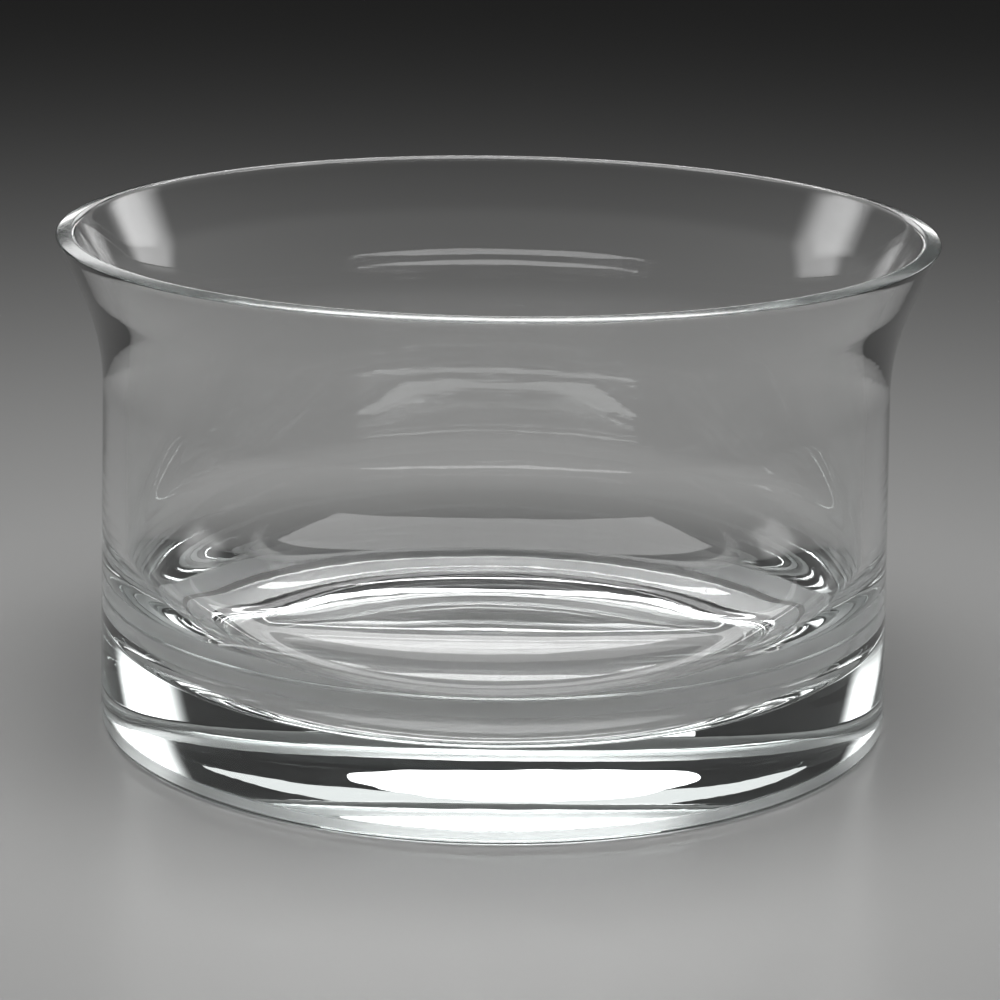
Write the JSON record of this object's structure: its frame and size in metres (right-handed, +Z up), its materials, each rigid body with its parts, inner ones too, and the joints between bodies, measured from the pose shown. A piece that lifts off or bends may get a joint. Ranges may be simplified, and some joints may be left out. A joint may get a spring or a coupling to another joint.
{
  "type": "rose bowl vase",
  "caption": "Low round clear-glass vase with a flared, flat-ground lip, straight body, rounded inside corner and thick solid base, for floating or cut roses.",
  "frame": {"origin": "centre of the standing face, on the bowl's axis", "axes": "+Z up along the bowl's axis, out of the open mouth"},
  "size_m": [0.1778, 0.1778, 0.1023],
  "materials": {
    "clear_glass": "clear, fire-polished wall with a satin, ground lip and standing ring"
  },
  "bodies": {
    "root": {"glass_bowl": "clear_glass"}
  },
  "joints": []
}
